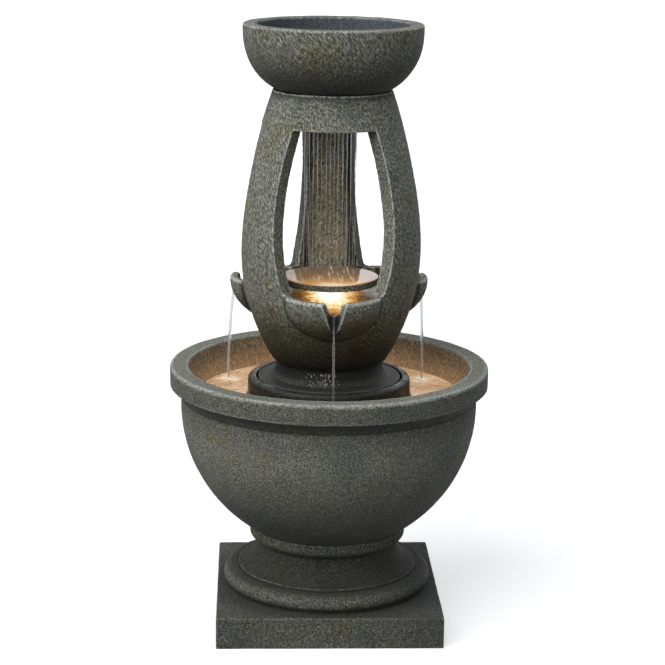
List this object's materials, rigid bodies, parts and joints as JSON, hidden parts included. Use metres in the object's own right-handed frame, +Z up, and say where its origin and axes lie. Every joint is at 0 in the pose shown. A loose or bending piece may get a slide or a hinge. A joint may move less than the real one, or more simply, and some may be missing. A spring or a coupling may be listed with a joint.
{
  "type": "bowl fountain",
  "caption": "Tiered cast-stone bowl fountain: open-legged tower with a lit splash dish and notched basin over a wide pool bowl on a square pedestal, fed by a submersible pump.",
  "frame": {"origin": "centre of the square plinth at floor level", "axes": "+Z up along the fountain's axis, the front spout points along -Y, the back leg stands at +Y"},
  "size_m": [0.575, 0.575, 1.08],
  "materials": {
    "cast_stone": "rough hammered cast stone",
    "black_rubber": "matt",
    "black_plastic": "matt",
    "grey_plastic": "matt",
    "white_ceramic": "ground",
    "hose_plastic": "satin",
    "lamp_board": "satin",
    "lamp_lens": "clear"
  },
  "bodies": {
    "base": {"pedestal": "cast_stone", "lower_bowl": "cast_stone", "cable_grommet": "black_rubber", "pump_riser": "cast_stone", "pool_lamp_housings": "black_plastic", "pool_lamp_boards": "lamp_board", "pool_lamp_lenses": "lamp_lens", "pump_body": "black_plastic", "pump_volute": "black_plastic", "impeller_shaft": "white_ceramic", "shaft_bushes": "black_rubber", "outlet_nozzle": "black_plastic", "pump_strainer": "black_plastic", "suction_cups": "black_rubber"},
    "tower": {"tower": "cast_stone", "riser_tube": "hose_plastic", "water_spreader": "black_plastic", "dish_post": "black_plastic", "dish_lamp_housing": "black_plastic", "dish_lamp_board": "lamp_board", "dish_lamp_seal": "black_rubber", "dish_lamp_lens": "lamp_lens"},
    "dish": {"splash_dish": "cast_stone"},
    "upper_bowl": {"top_bowl": "cast_stone"},
    "pump_wheel": {"impeller": "grey_plastic"},
    "dial": {"flow_dial": "grey_plastic"}
  },
  "joints": [
    {"name": "tower_lift", "type": "slide", "parent": "base", "child": "tower", "axis": [0, 0, 1], "range_m": [0, 0.16]},
    {"name": "dish_lift", "type": "slide", "parent": "tower", "child": "dish", "axis": [0, 0, 1], "range_m": [0, 0.06]},
    {"name": "top_bowl_lift", "type": "slide", "parent": "tower", "child": "upper_bowl", "axis": [0, 0, 1], "range_m": [0, 0.2]},
    {"name": "impeller_spin", "type": "hinge", "parent": "base", "child": "pump_wheel", "pos_m": [0, 0.037, 0.226], "axis": [0, 1, 0], "continuous": true},
    {"name": "flow_dial_turn", "type": "hinge", "parent": "base", "child": "dial", "pos_m": [0, 0.089, 0.226], "axis": [0, 1, 0], "range_deg": [0, 60]}
  ]
}
